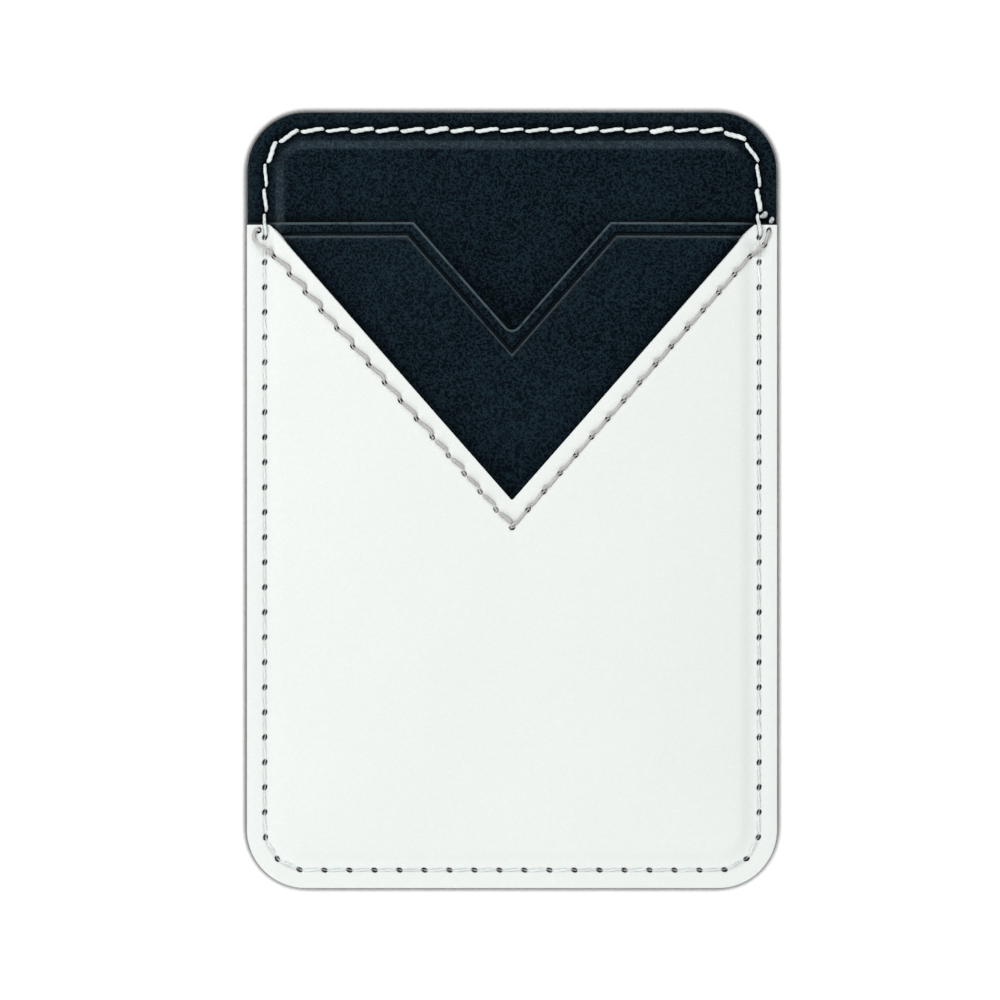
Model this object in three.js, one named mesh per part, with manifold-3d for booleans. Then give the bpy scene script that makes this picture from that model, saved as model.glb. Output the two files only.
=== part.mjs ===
// Stick on phone card holder: two card pockets of synthetic leather sewn to an adhesive back.
// It lies on its back. X runs across it, Y up its face and Z out of it, in millimetres.
// The origin is the middle of the rear face.

import * as THREE from 'three';
import { mergeGeometries, mergeVertices } from 'three/addons/utils/BufferGeometryUtils.js';
import Module from 'manifold-3d';

const wasm = await Module();
wasm.setup();

// Outline shared by all the sewn sheets
const WIDTH = 65;
const HEIGHT = 95.2;
const CORNER_RADIUS = 7.2;
const INNER_CORNER_RADIUS = 1.2;
const CORNER_DIVISIONS = 3;
const EDGE_EASE = 0.12;

// Thickness of each sheet, from the phone side to the front
const LINER_THICKNESS = 0.12;
const ADHESIVE_THICKNESS = 0.4;
const REAR_THICKNESS = 0.7;
const BOARD_THICKNESS = 0.45;
const LINING_THICKNESS = 0.7;
const INNER_THICKNESS = 0.6;
const FRONT_THICKNESS = 0.75;

// Adhesive pad and its release liner, inside the seam
const ADHESIVE_INSET = 4;
const LINER_OVERHANG = 0.4;

// Raised middle of the back, pressed over the board
const BEVEL_START = 3.2;
const BEVEL_END = 4.8;
const BOARD_EDGE_CLEARANCE = 0.2;

// Pockets: flat in the seam, then a shoulder clear of the sheet behind, then a shallow crown
const SEAM_FLAT_END = 2.75;
const SHOULDER_CLEARANCE = 0.1;
const POCKET_ROOM = 0.9;
const CROWN_RUN = 22;
const CROWN_STEPS = 3;

// Inner pocket: straight top edge with a V notch, and a crease pressed along that edge
const INNER_TOP = 34;
const NOTCH_HALF_WIDTH = 12.05;
const NOTCH_DEPTH = 13.7;
const NOTCH_ROUND = 1;
const CREASE_INSET = 1.53;
const CREASE_WIDTH = 0.6;
const CREASE_DEPTH = 0.2;
const CREASE_END_MARGIN = 2.9;

// Front pocket: deep V cut between two short tabs
const FRONT_TOP = 33.7;
const V_HALF_WIDTH = 29.7;
const V_DEPTH = 33.8;
const V_ROUND = 0.4;

// Seams: thread, slits and stitches
const SEAM_INSET = 2.2;
const V_SEAM_INSET = 2.2;
const V_SEAM_STITCHES = 14;
const STITCH_PITCH = 3.06;
const THREAD_WIDTH = 0.44;
const THREAD_HEIGHT = 0.38;
const THREAD_CREST_WIDTH = 0.24;
const THREAD_CLEARANCE = 0.03;
const STITCH_END_OFFSET = 0.3;
const STITCH_SLANT_OFFSET = 0.12;
const SLIT_LENGTH = 0.98;
const SLIT_WIDTH = 0.64;
const LOOP_RECESS_SHARE = 0.3;
const KNOT_GAP = 0.04;
const CHANNEL_WIDTH = 0.9;
const DRAPE_RUN = 0.35;

// Heights that follow from the thicknesses
const linerInset = ADHESIVE_INSET - LINER_OVERHANG;
const linerTop = LINER_THICKNESS;
const adhesiveTop = linerTop + ADHESIVE_THICKNESS;
const rearTop = adhesiveTop + REAR_THICKNESS;
const boardTop = rearTop + BOARD_THICKNESS;
const liningRimTop = rearTop + LINING_THICKNESS;
const liningTop = boardTop + LINING_THICKNESS;

// The lining keeps its thickness round the bevel, so its lower face bends further in
const bevelSlope = Math.atan2(BOARD_THICKNESS, BEVEL_END - BEVEL_START);
const bevelShift = LINING_THICKNESS * Math.tan(bevelSlope / 2);
const boardInset = BEVEL_END + bevelShift + BOARD_EDGE_CLEARANCE;

// Height of a pocket sheet's lower face at each inset from the sewn outline
const innerSheet = pocketSheet(liningRimTop, liningTop, liningTop, INNER_THICKNESS);
const frontSheet = pocketSheet(
  innerSheet.lower(0) + INNER_THICKNESS,
  innerSheet.lower(BEVEL_END) + INNER_THICKNESS,
  innerSheet.lower(BEVEL_END + CROWN_RUN) + INNER_THICKNESS,
  FRONT_THICKNESS,
);

function pocketSheet(rimBelow, shoulderBelow, middleBelow, thickness) {
  const shoulder = shoulderBelow + SHOULDER_CLEARANCE;
  const middle = middleBelow + POCKET_ROOM;
  const insets = [SEAM_FLAT_END, BEVEL_END];
  for (let step = 1; step <= CROWN_STEPS; step += 1) {
    insets.push(BEVEL_END + (CROWN_RUN * step) / CROWN_STEPS);
  }
  const heights = insets.map((inset) => {
    if (inset <= SEAM_FLAT_END) return rimBelow;
    const share = (inset - BEVEL_END) / CROWN_RUN;
    return shoulder + (middle - shoulder) * (1 - (1 - share) ** 2);
  });
  const lower = (inset) => {
    if (inset <= insets[0]) return heights[0];
    const next = insets.findIndex((value) => value >= inset);
    if (next < 0) return heights.at(-1);
    const share = (inset - insets[next - 1]) / (insets[next] - insets[next - 1]);
    return THREE.MathUtils.lerp(heights[next - 1], heights[next], share);
  };
  return { insets, thickness, lower, upper: (inset) => lower(inset) + thickness };
}

// Distance from the three sewn sides of a pocket to a point on it
function pocketInset(x, y) {
  return Math.max(0, Math.min(WIDTH / 2 - Math.abs(x), y + HEIGHT / 2));
}

// Rounded rectangle at an inset from the outline, with its top moved up by extraTop
function outlinePath(inset, extraTop = 0) {
  const radius = Math.max(CORNER_RADIUS - inset, INNER_CORNER_RADIUS);
  const x = WIDTH / 2 - inset - radius;
  const bottom = -HEIGHT / 2 + inset + radius;
  const top = HEIGHT / 2 - inset - radius + extraTop;
  const path = new THREE.Path();
  path.absarc(x, top, radius, 0, Math.PI / 2);
  path.absarc(-x, top, radius, Math.PI / 2, Math.PI);
  path.absarc(-x, bottom, radius, Math.PI, Math.PI * 1.5);
  path.absarc(x, bottom, radius, Math.PI * 1.5, Math.PI * 2);
  return path;
}

function outlineRing(inset, z, extraTop) {
  const points = outlinePath(inset, extraTop).getPoints(CORNER_DIVISIONS);
  return points.map((point) => new THREE.Vector3(point.x, point.y, z));
}

// Closed solid through rings of equal count: with flat convex ends, or joined end to start
function loftRings(rings, joined = false) {
  const count = rings[0].length;
  const positions = rings.flat().flatMap((point) => point.toArray());
  const indices = [];
  const bands = joined ? rings.length : rings.length - 1;
  for (let band = 0; band < bands; band += 1) {
    const here = band * count;
    const there = ((band + 1) % rings.length) * count;
    for (let side = 0; side < count; side += 1) {
      const next = (side + 1) % count;
      indices.push(here + side, here + next, there + next);
      indices.push(here + side, there + next, there + side);
    }
  }
  const last = (rings.length - 1) * count;
  for (let side = 1; side < count - 1 && !joined; side += 1) {
    indices.push(0, side + 1, side);
    indices.push(last, last + side, last + side + 1);
  }
  const geometry = new THREE.BufferGeometry();
  geometry.setAttribute('position', new THREE.Float32BufferAttribute(positions, 3));
  geometry.setIndex(indices);
  return geometry;
}

// Cutting and joining of closed meshes
function toSolid(geometry) {
  const bare = geometry.clone();
  bare.deleteAttribute('normal');
  bare.deleteAttribute('uv');
  const merged = mergeVertices(bare, 1e-4);
  return new wasm.Manifold(new wasm.Mesh({
    numProp: 3,
    vertProperties: new Float32Array(merged.attributes.position.array),
    triVerts: new Uint32Array(merged.index.array),
  }));
}

function toGeometry(solid) {
  const mesh = solid.getMesh();
  const geometry = new THREE.BufferGeometry();
  geometry.setAttribute('position', new THREE.BufferAttribute(mesh.vertProperties.slice(), 3));
  geometry.setIndex(new THREE.BufferAttribute(mesh.triVerts.slice(), 1));
  return geometry;
}

function cut(geometry, ...tools) {
  return toGeometry(tools.reduce((solid, tool) => solid.subtract(toSolid(tool)), toSolid(geometry)));
}

// Flat plate with the outline's shape, standing on its own lower face
function plate(inset, thickness, ease = 0) {
  return loftRings([
    outlineRing(inset + ease, 0),
    ...(ease > 0 ? [outlineRing(inset, ease)] : []),
    outlineRing(inset, thickness),
  ]);
}

// Sheet from [inset, height] pairs: the lower face from its middle out, then the upper face back in
function formedSheet(profile, extraTop) {
  return loftRings(profile.map(([inset, z]) => outlineRing(inset, z, extraTop)));
}

// Edge line with a V cut in it, from left to right, with a rounded bottom
function vCorners(top, halfWidth, depth) {
  return [
    new THREE.Vector2(-halfWidth, top),
    new THREE.Vector2(0, top - depth),
    new THREE.Vector2(halfWidth, top),
  ];
}

function vEdge(top, halfWidth, depth, round) {
  const slope = Math.atan2(depth, halfWidth);
  const centre = top - depth + round / Math.cos(slope);
  const path = new THREE.Path();
  path.moveTo(-halfWidth, top);
  path.lineTo(-round * Math.sin(slope), centre - round * Math.cos(slope));
  path.absarc(0, centre, round, -Math.PI / 2 - slope, -Math.PI / 2 + slope);
  path.lineTo(halfWidth, top);
  return path.getPoints(CORNER_DIVISIONS);
}

// Prism over the whole stack, above an edge line that runs from left to right
function trimAbove(edge) {
  const far = WIDTH + HEIGHT;
  const shape = new THREE.Shape();
  shape.moveTo(far, far);
  shape.lineTo(-far, far);
  shape.lineTo(-far, edge[0].y);
  edge.forEach((point) => shape.lineTo(point.x, point.y));
  shape.lineTo(far, edge.at(-1).y);
  const prism = new THREE.ExtrudeGeometry(shape, { depth: far, bevelEnabled: false });
  return prism.translate(0, 0, -far / 2);
}

// Line parallel to an edge line, moved down into the sheet, with mitred corners
function offsetLine(points, distance) {
  return points.map((point, index) => {
    const before = points[Math.max(index - 1, 0)];
    const after = points[Math.min(index + 1, points.length - 1)];
    const arriving = index > 0 ? point.clone().sub(before).normalize() : null;
    const leaving = index < points.length - 1 ? after.clone().sub(point).normalize() : null;
    const first = arriving ?? leaving;
    const second = leaving ?? arriving;
    const side = new THREE.Vector2(first.y + second.y, -first.x - second.x).normalize();
    const reach = distance / side.dot(new THREE.Vector2(first.y, -first.x));
    return point.clone().addScaledVector(side, reach);
  });
}

// Straight runs of a line cut into steps no longer than a length
function subdivideLine(points, longest) {
  const result = [points[0].clone()];
  for (let index = 1; index < points.length; index += 1) {
    const run = points[index].clone().sub(points[index - 1]);
    const steps = Math.ceil(run.length() / longest);
    for (let step = 1; step <= steps; step += 1) {
      result.push(points[index - 1].clone().addScaledVector(run, step / steps));
    }
  }
  return result;
}

// Bar that follows a line over a sheet's face: section holds [sideways, height over face] pairs
function barAlong(points, section, face) {
  const sides = section.map(([sideways]) => offsetLine(points, sideways));
  return loftRings(points.map((point, index) => section.map(([, height], corner) => {
    const place = sides[corner][index];
    return new THREE.Vector3(place.x, place.y, face(pocketInset(point.x, point.y)) + height);
  })));
}

// Path of the seam round the edge, from the middle of the top
function perimeterSeamPath() {
  const radius = CORNER_RADIUS - SEAM_INSET;
  const x = WIDTH / 2 - CORNER_RADIUS;
  const y = HEIGHT / 2 - CORNER_RADIUS;
  const path = new THREE.Path();
  path.moveTo(0, y + radius);
  path.lineTo(-x, y + radius);
  path.absarc(-x, y, radius, Math.PI / 2, Math.PI);
  path.absarc(-x, -y, radius, Math.PI, Math.PI * 1.5);
  path.absarc(x, -y, radius, Math.PI * 1.5, Math.PI * 2);
  path.absarc(x, y, radius, 0, Math.PI / 2);
  path.closePath();
  return path;
}

// Corners of the seam along the V: as long as its stitches on each side of the point
function vSeamCorners() {
  const line = offsetLine(vCorners(FRONT_TOP, V_HALF_WIDTH, V_DEPTH), V_SEAM_INSET);
  const point = line[1];
  const reach = V_SEAM_STITCHES * STITCH_PITCH;
  const ends = [line[0], line[2]].map((end) => {
    return point.clone().addScaledVector(end.clone().sub(point).normalize(), reach);
  });
  return [ends[0], point, ends[1]];
}

// Needle holes of a seam, with the height of the faces that its two threads lie on
function needleHoles(path, count, closed, topFace, bottomFace) {
  const holes = [];
  for (let index = 0; index < (closed ? count : count + 1); index += 1) {
    const share = (index + (closed ? 0.5 : 0)) / count;
    const place = path.getPoint(share);
    const along = path.getTangent(share);
    const across = new THREE.Vector2(along.y, -along.x);
    holes.push({ place, along, across, topFace, bottomFace });
  }
  return holes;
}

// Slits of the needle, slanted so that each stitch leaves on one side and enters on the other
function slits(holes) {
  const slant = Math.atan2(STITCH_SLANT_OFFSET, STITCH_END_OFFSET);
  return mergeGeometries(holes.map(({ place, along }) => {
    const slit = new THREE.BoxGeometry(SLIT_LENGTH, SLIT_WIDTH, HEIGHT);
    slit.rotateZ(Math.atan2(along.y, along.x) - slant);
    return slit.translate(place.x, place.y, 0);
  }));
}

// Thread sections, in widths and shares of the thread's height: rounded off on its outer side
const needleSection = [
  [-THREAD_WIDTH / 2, 0],
  [-THREAD_CREST_WIDTH / 2, 1],
  [THREAD_CREST_WIDTH / 2, 1],
  [THREAD_WIDTH / 2, 0],
];
const bobbinSection = [
  [THREAD_WIDTH / 2, 0],
  [0, 1],
  [-THREAD_WIDTH / 2, 0],
];

// One ring of a thread near a hole; levels gives the heights of its leather side and its crest
function threadRing(hole, section, alongBy, acrossBy, levels) {
  const centre = hole.place.clone();
  centre.addScaledVector(hole.along, alongBy);
  centre.addScaledVector(hole.across, acrossBy);
  const [base, crest] = levels(centre);
  return section.map(([sideways, share]) => {
    const corner = centre.clone().addScaledVector(hole.across, sideways);
    return new THREE.Vector3(corner.x, corner.y, THREE.MathUtils.lerp(base, crest, share));
  });
}

// Rings of a thread at a hole: lying on the leather before it, down at the knot, and lying after it
function threadAtHole(hole, section, outward, lift = 0) {
  const near = outward > 0 ? hole.topFace : hole.bottomFace;
  const far = outward > 0 ? hole.bottomFace : hole.topFace;
  const lying = (centre) => {
    const base = near(centre) + outward * (THREAD_CLEARANCE + lift);
    return [base, base + outward * THREAD_HEIGHT];
  };
  const face = near(hole.place);
  const knot = (face + far(hole.place) + outward * KNOT_GAP) / 2;
  const loop = THREE.MathUtils.lerp(face, knot, LOOP_RECESS_SHARE);
  return [
    threadRing(hole, section, -STITCH_END_OFFSET, -STITCH_SLANT_OFFSET, lying),
    threadRing(hole, section, 0, 0, () => [knot, loop]),
    threadRing(hole, section, STITCH_END_OFFSET, STITCH_SLANT_OFFSET, lying),
  ];
}

// Height that a straight stitch needs over a face that bulges between its two holes
function bulge(from, to) {
  if (!from || !to) return 0;
  const heights = [0.25, 0.5, 0.75].map((share) => {
    const chord = THREE.MathUtils.lerp(from.topFace(from.place), to.topFace(to.place), share);
    return to.topFace(from.place.clone().lerp(to.place, share)) - chord;
  });
  return Math.max(0, ...heights);
}

// Where the seam climbs from the back onto the pockets, the needle thread drapes over their edges
function drapeRings(from, to) {
  const fromTop = from.topFace(from.place);
  const toTop = to.topFace(to.place);
  if (fromTop === toTop) return [];
  const high = Math.max(fromTop, toTop) + THREAD_CLEARANCE;
  const low = Math.min(fromTop, toTop) + THREAD_CLEARANCE;
  const brink = [FRONT_TOP + 2 * THREAD_CLEARANCE, high, high + THREAD_HEIGHT];
  const foot = [INNER_TOP + DRAPE_RUN, low, low + 2 * THREAD_HEIGHT];
  const order = fromTop > toTop ? [brink, foot] : [foot, brink];
  return order.map(([y, base, crest]) => {
    const alongBy = (y - from.place.y) / from.along.y;
    return threadRing(from, needleSection, alongBy, 0, () => [base, crest]);
  });
}

function perimeterNeedleThread() {
  const rings = perimeterHoles.flatMap((hole, index) => {
    const after = perimeterHoles[(index + 1) % perimeterHoles.length];
    return [...threadAtHole(hole, needleSection, 1), ...drapeRings(hole, after)];
  });
  return loftRings(rings, true);
}

function perimeterBobbinThread() {
  return loftRings(perimeterHoles.flatMap((hole) => threadAtHole(hole, bobbinSection, -1)), true);
}

// The threads of the V seam start and end down in its first and last holes
function vSeamNeedleThread() {
  const rings = vSeamHoles.flatMap((hole, index) => {
    const lift = Math.max(bulge(vSeamHoles[index - 1], hole), bulge(hole, vSeamHoles[index + 1]));
    return threadAtHole(hole, needleSection, 1, lift);
  });
  return loftRings(rings.slice(1, -1));
}

function vSeamBobbinThread() {
  const rings = vSeamHoles.flatMap((hole) => threadAtHole(hole, bobbinSection, -1));
  return loftRings(rings.slice(1, -1));
}

// Seam round the edge, through every sheet that it meets
const perimeterPath = perimeterSeamPath();
const perimeterHoles = needleHoles(
  perimeterPath,
  Math.round(perimeterPath.getLength() / STITCH_PITCH),
  true,
  (place) => (place.y < FRONT_TOP ? frontSheet.upper(0) : liningRimTop),
  () => adhesiveTop,
);
const perimeterSlits = slits(perimeterHoles);

// Seam along the V, through the front sheet alone, its under thread bedded in a channel
const channelDepth = THREAD_HEIGHT + 2 * THREAD_CLEARANCE;
const vSeamLine = vSeamCorners();
const vSeamPath = new THREE.Path(vSeamLine);
const vSeamHoles = needleHoles(
  vSeamPath,
  2 * V_SEAM_STITCHES,
  false,
  (place) => frontSheet.upper(pocketInset(place.x, place.y)),
  (place) => frontSheet.lower(pocketInset(place.x, place.y)) + channelDepth,
);

function backLining() {
  return cut(formedSheet([
    [BEVEL_END + bevelShift, boardTop],
    [BEVEL_START + bevelShift, rearTop],
    [0, rearTop],
    [0, liningRimTop - EDGE_EASE],
    [EDGE_EASE, liningRimTop],
    [BEVEL_START, liningRimTop],
    [BEVEL_END, liningTop],
  ]), perimeterSlits);
}

// Pocket blank before trimming: sewn on three sides and running on past its top edge
function pocketBlank(sheet) {
  const inward = sheet.insets;
  const outward = inward.slice().reverse();
  return formedSheet([
    ...outward.map((inset) => [inset, sheet.lower(inset)]),
    [0, sheet.lower(0)],
    [0, sheet.upper(0) - EDGE_EASE],
    [EDGE_EASE, sheet.upper(0)],
    ...inward.map((inset) => [inset, sheet.upper(inset)]),
  ], BEVEL_END + CROWN_RUN);
}

function innerPocket() {
  const corners = vCorners(INNER_TOP, NOTCH_HALF_WIDTH, NOTCH_DEPTH);
  const end = WIDTH / 2 - CREASE_END_MARGIN;
  const edge = [new THREE.Vector2(-end, INNER_TOP), ...corners, new THREE.Vector2(end, INNER_TOP)];
  const creaseLine = subdivideLine(offsetLine(edge, CREASE_INSET), CROWN_RUN / CROWN_STEPS);
  const creaseSection = [
    [0, -CREASE_DEPTH],
    [-CREASE_WIDTH, CREASE_DEPTH],
    [CREASE_WIDTH, CREASE_DEPTH],
  ];
  return cut(
    pocketBlank(innerSheet),
    trimAbove(vEdge(INNER_TOP, NOTCH_HALF_WIDTH, NOTCH_DEPTH, NOTCH_ROUND)),
    barAlong(creaseLine, creaseSection, innerSheet.upper),
    perimeterSlits,
  );
}

function frontPocket() {
  const channelSection = [
    [-CHANNEL_WIDTH / 2, -channelDepth],
    [-CHANNEL_WIDTH / 2, channelDepth],
    [CHANNEL_WIDTH / 2, channelDepth],
    [CHANNEL_WIDTH / 2, -channelDepth],
  ];
  return cut(
    pocketBlank(frontSheet),
    trimAbove(vEdge(FRONT_TOP, V_HALF_WIDTH, V_DEPTH, V_ROUND)),
    barAlong(subdivideLine(vSeamLine, STITCH_PITCH), channelSection, frontSheet.lower),
    perimeterSlits,
    slits(vSeamHoles),
  );
}

// Materials
function material(color, roughness) {
  return new THREE.MeshStandardMaterial({ color, roughness, metalness: 0 });
}

const blackLeather = () => material('#13202a', 0.62);
const whiteLeather = () => material('#eff3f0', 0.6);
const whiteThread = () => material('#dde3e1', 0.7);

function piece(name, geometry, finish, z = 0) {
  const mesh = new THREE.Mesh(geometry, finish);
  mesh.name = name;
  mesh.position.z = z;
  return mesh;
}

// Assembly, from the phone side to the front
const mountingPad = new THREE.Group();
mountingPad.add(
  piece('release_liner', plate(linerInset, LINER_THICKNESS), material('#f1ead6', 0.5)),
  piece('adhesive_pad', plate(ADHESIVE_INSET, ADHESIVE_THICKNESS), material('#d9dad6', 0.8), linerTop),
);

const back = new THREE.Group();
back.add(
  piece('rear_panel', cut(plate(0, REAR_THICKNESS, EDGE_EASE), perimeterSlits), blackLeather(), adhesiveTop),
  piece(
    'stiffener_board',
    plate(boardInset, BOARD_THICKNESS),
    material('#8b8375', 0.9),
    rearTop,
  ),
  piece('back_panel_lining', backLining(), blackLeather()),
);

const pockets = new THREE.Group();
pockets.add(
  piece('inner_pocket_panel', innerPocket(), blackLeather()),
  piece('front_pocket_panel', frontPocket(), whiteLeather()),
);

const seams = new THREE.Group();
seams.add(
  piece('perimeter_needle_thread', perimeterNeedleThread(), whiteThread()),
  piece('perimeter_bobbin_thread', perimeterBobbinThread(), whiteThread()),
  piece('v_seam_needle_thread', vSeamNeedleThread(), whiteThread()),
  piece('v_seam_bobbin_thread', vSeamBobbinThread(), whiteThread()),
);

const cardHolder = new THREE.Group();
cardHolder.add(mountingPad, back, pockets, seams);

export default cardHolder;
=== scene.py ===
"""Stick on phone card holder: its looks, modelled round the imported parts.

It lies on its back. X runs across it, Y up its face and Z out of it. Blender's unit is the metre.
"""

import math
import random

import bmesh
import bpy
from mathutils import Matrix, Vector


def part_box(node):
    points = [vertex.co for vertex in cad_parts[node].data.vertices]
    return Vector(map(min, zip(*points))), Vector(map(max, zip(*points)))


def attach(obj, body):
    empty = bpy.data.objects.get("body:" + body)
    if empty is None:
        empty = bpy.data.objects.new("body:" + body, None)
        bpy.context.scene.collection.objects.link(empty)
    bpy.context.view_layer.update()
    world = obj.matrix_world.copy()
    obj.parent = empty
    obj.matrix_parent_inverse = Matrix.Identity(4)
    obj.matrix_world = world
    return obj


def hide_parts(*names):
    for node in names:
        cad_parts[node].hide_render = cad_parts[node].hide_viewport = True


bl_info = {
    "name": "Stick on card holder",
    "version": (1, 0, 0),
    "blender": (4, 5, 0),
    "location": "View3D > Sidebar > Card holder",
    "description": "Models a sewn leather card holder with two pockets, its seams and a studio",
    "category": "Add Mesh",
}

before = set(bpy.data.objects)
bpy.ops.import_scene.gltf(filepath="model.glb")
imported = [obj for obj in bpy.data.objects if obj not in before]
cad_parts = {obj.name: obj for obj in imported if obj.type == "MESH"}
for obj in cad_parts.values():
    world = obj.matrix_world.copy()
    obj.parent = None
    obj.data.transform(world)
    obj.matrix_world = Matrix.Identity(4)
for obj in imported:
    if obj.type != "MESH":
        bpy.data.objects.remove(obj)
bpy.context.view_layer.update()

MM = 0.001
BODY = "root"

REAR_LOW, REAR_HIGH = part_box("rear_panel")
LINING_LOW, LINING_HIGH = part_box("back_panel_lining")
INNER_LOW, INNER_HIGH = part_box("inner_pocket_panel")
FRONT_LOW, FRONT_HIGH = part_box("front_pocket_panel")
PAD_LOW, PAD_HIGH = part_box("adhesive_pad")
LINER_LOW, LINER_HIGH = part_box("release_liner")

WIDTH = REAR_HIGH.x - REAR_LOW.x
HEIGHT = REAR_HIGH.y - REAR_LOW.y

# Modelling
TINY = 0.1 * MM
LINE_SPACING = 3 * MM
POCKET_INSETS = [step * MM for step in (1.2, 2.2, 2.75, 3.1, 3.5, 3.9, 4.3, 4.8, 5.4, 6.2, 7.2)]
BEVEL_STEPS = [0.2 * MM] * 8 + [0.4 * MM]
BEVEL_SOFTNESS = 0.2
CREASE_UPPER = 0.19 * MM
CREASE_LOWER = 0.56 * MM
CREASE_CUTS = (-CREASE_LOWER, -CREASE_LOWER / 2, 0.0, CREASE_UPPER / 2, CREASE_UPPER)
CREASE_END = 0.8 * MM
PAD_INSET = 4 * MM
PAPER_INSET = 3.6 * MM
WELD_GAP = 0.07 * MM
SHARP_ANGLE = math.radians(50)

# Seams
EDGE_SLANT = 0.38
V_STITCHES = 15
GAPPED_FROM = 10
MODEL_PITCH = 3.06 * MM
PLY_TURNS = 2.4
CURVE_STEPS = 3
PRESSED_IN = 0.06 * MM
DRAPE_RUN = 0.75 * MM
DRAPE_MARGIN = 0.3 * MM
V_UNDER_DEPTH = 0.42 * MM

# Studio: place, sides and power of each lamp, and the camera with the width that it sees at a height
LAMPS = {
    "top": ((-0.03, 0.45, 0.385), (0.9, 0.14), 2.9),
    "left": ((-0.44, 0.02, 0.42), (0.2, 0.2), 1.2),
    "right": ((0.50, -0.20, 0.26), (0.36, 0.36), 1.2),
    "low": ((-0.16, -0.52, 0.26), (0.5, 0.3), 2.0),
}
SOFT_LIGHT = 0.12
FLOOR_SIDE = 4
SENSOR_WIDTH = 36.0
CAMERA_PLACE = (-1.47 * MM, -0.03 * MM, 0.6)
SEEN_WIDTH = 122.62 * MM
SEEN_HEIGHT = 3 * MM


# Sizes and colours

def length(name, description, default):
    return bpy.props.FloatProperty(
        name=name, description=description, default=default, min=0.0, precision=5,
        subtype="DISTANCE", unit="LENGTH",
    )


def colour(name, description, default):
    return bpy.props.FloatVectorProperty(
        name=name, description=description, default=default, size=3, min=0.0, max=1.0,
        subtype="COLOR",
    )


class HOLDER_PG_sizes(bpy.types.PropertyGroup):
    """Sizes of the holder"""

    corner_radius: length("Corner radius", "Radius of the four corners", 7.2 * MM)
    edge_ease: length("Edge rounding", "Rounding on the cut edges of the leather", 0.13 * MM)
    lining_rim: length("Back edge height", "Height of the sewn rim of the back", 1.92 * MM)
    shoulder_gap: length("Shoulder gap", "Gap between sheets beside the seam", 0.1 * MM)
    bevel_start: length("Bevel start", "Distance of the raised middle's foot from the edge", 3.2 * MM)
    bevel_end: length("Bevel end", "Distance of the raised middle's top from the edge", 4.8 * MM)
    flat_end: length("Seam flat", "Width of the flat sewn rim of the pockets", 2.75 * MM)
    crown_run: length("Crown run", "Distance over which a pocket rises to its middle", 22 * MM)
    crown_softness: length("Crown softness", "Rounding of the crown in the corners", 2.2 * MM)
    lining_thickness: length("Back lining thickness", "Thickness of the back lining", 0.7 * MM)
    inner_thickness: length("Inner sheet thickness", "Thickness of the inner pocket", 0.6 * MM)
    front_thickness: length("Front sheet thickness", "Thickness of the front pocket", 0.75 * MM)
    notch_half_width: length("Notch half width", "Half the width of the thumb notch", 12.05 * MM)
    notch_depth: length("Notch depth", "Depth of the thumb notch", 13.7 * MM)
    notch_round: length("Notch rounding", "Rounding at the bottom of the thumb notch", 1.0 * MM)
    crease_inset: length("Crease inset", "Distance of the crease from the pocket's edge", 1.55 * MM)
    crease_depth: length("Crease depth", "Depth of the pressed crease", 0.22 * MM)
    v_half_width: length("V half width", "Half the width of the V cut", 29.7 * MM)
    v_depth: length("V depth", "Depth of the V cut", 33.8 * MM)
    v_round: length("V rounding", "Rounding at the bottom of the V cut", 0.2 * MM)
    seam_inset: length("Seam inset", "Distance of the edge seam from the edge", 2.2 * MM)
    v_seam_inset: length("V seam inset", "Distance of the V seam from the cut", 2.2 * MM)
    stitch_pitch: length("Stitch pitch", "Distance between needle holes", 3.06 * MM)
    v_stitch_pitch: length("V stitch pitch", "Distance between needle holes of the V seam", 2.95 * MM)
    thread_radius: length("Thread radius", "Radius of the sewing thread", 0.235 * MM)
    hole_length: length("Needle hole length", "Length of a needle hole along the seam", 0.8 * MM)
    hole_width: length("Needle hole width", "Width of a needle hole across the seam", 0.58 * MM)


class HOLDER_PG_finishes(bpy.types.PropertyGroup):
    """Colours of the holder"""

    black_dark: colour("Black leather valleys", "Colour between the grain", (0.0002, 0.0012, 0.0026))
    black_light: colour("Black leather grain", "Colour on top of the grain", (0.0128, 0.0268, 0.0375))
    white_dark: colour("White leather valleys", "Colour between the grain", (0.800, 0.836, 0.815))
    white_light: colour("White leather grain", "Colour on top of the grain", (0.838, 0.874, 0.851))
    edge_thread: colour("Edge thread", "Colour of the seam round the edge", (0.85, 0.93, 0.92))
    v_thread: colour("V thread", "Colour of the seam along the V", (0.56, 0.55, 0.525))
    liner: colour("Release paper", "Colour of the paper over the adhesive", (0.78, 0.70, 0.54))
    foam: colour("Foam", "Colour of the adhesive pad", (0.62, 0.63, 0.60))
    board: colour("Board", "Colour of the board inside the back", (0.26, 0.22, 0.17))


def sizes():
    return bpy.context.scene.holder_sizes


def finishes():
    return bpy.context.scene.holder_finishes


# Selecting and shaping

def leave_edit():
    if bpy.context.object and bpy.context.object.mode != "OBJECT":
        bpy.ops.object.mode_set(mode="OBJECT")


def deselect():
    bpy.ops.object.select_all(action="DESELECT")


def activate(piece):
    leave_edit()
    deselect()
    piece.select_set(True)
    bpy.context.view_layer.objects.active = piece


def named(name):
    piece = bpy.context.object
    piece.name = name
    piece.data.name = name
    return piece


def edit(piece, mode="VERT"):
    activate(piece)
    bpy.ops.object.mode_set(mode="EDIT")
    bpy.ops.mesh.select_mode(type=mode)
    bpy.ops.mesh.select_all(action="DESELECT")


def pick(piece, test, kind="verts"):
    """Selects the vertices, edges or faces that a test holds for, and nothing else."""
    mesh = bmesh.from_edit_mesh(piece.data)
    bpy.ops.mesh.select_all(action="DESELECT")
    for item in getattr(mesh, kind):
        if test(item):
            item.select_set(True)
    bmesh.update_edit_mesh(piece.data)


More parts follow.
